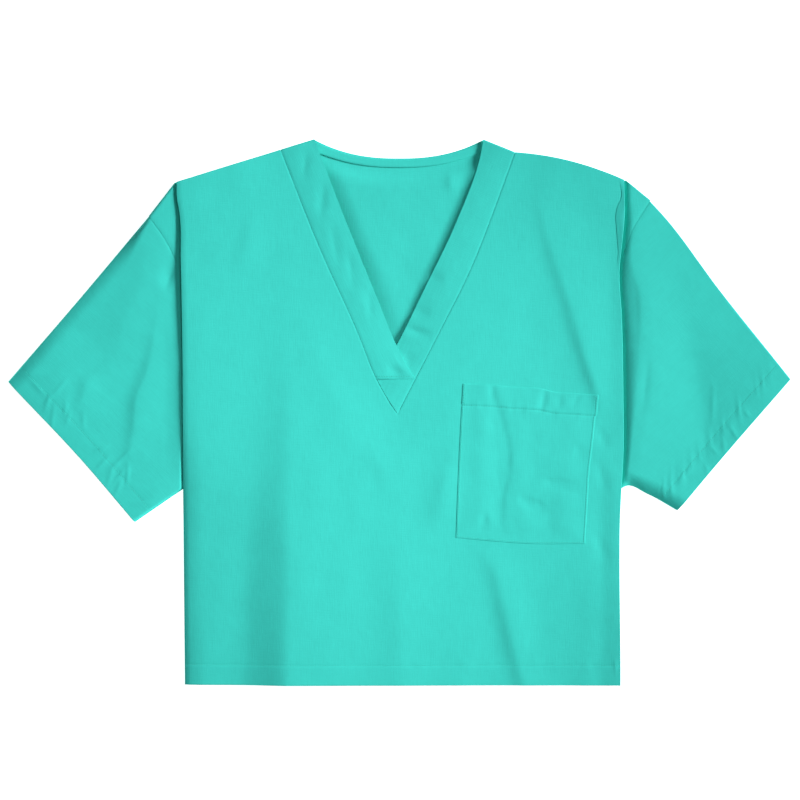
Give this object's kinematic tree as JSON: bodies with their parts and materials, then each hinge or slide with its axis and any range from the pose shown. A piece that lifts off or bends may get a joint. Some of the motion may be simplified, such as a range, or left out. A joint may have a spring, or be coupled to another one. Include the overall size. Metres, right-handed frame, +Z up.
{
  "type": "medical scrub top laid flat",
  "caption": "Short-sleeved V-neck scrub top with a banded neck and a chest pocket, lying flat with its front up.",
  "frame": {"origin": "on the surface the top lies on, at the middle of its bounding box", "axes": "+X towards the wearer's left cuff, +Y towards the neck, +Z up from the surface, out of the front"},
  "size_m": [0.9782, 0.6815, 0.0097],
  "materials": {
    "poplin": "matte plain-weave poly-cotton in turquoise"
  },
  "bodies": {
    "root": {"back_panel": "poplin", "front_panel": "poplin", "sleeve_right": "poplin", "sleeve_left": "poplin", "neck_band_right": "poplin", "neck_band_left": "poplin", "back_neck_band": "poplin", "chest_pocket": "poplin"}
  },
  "joints": []
}
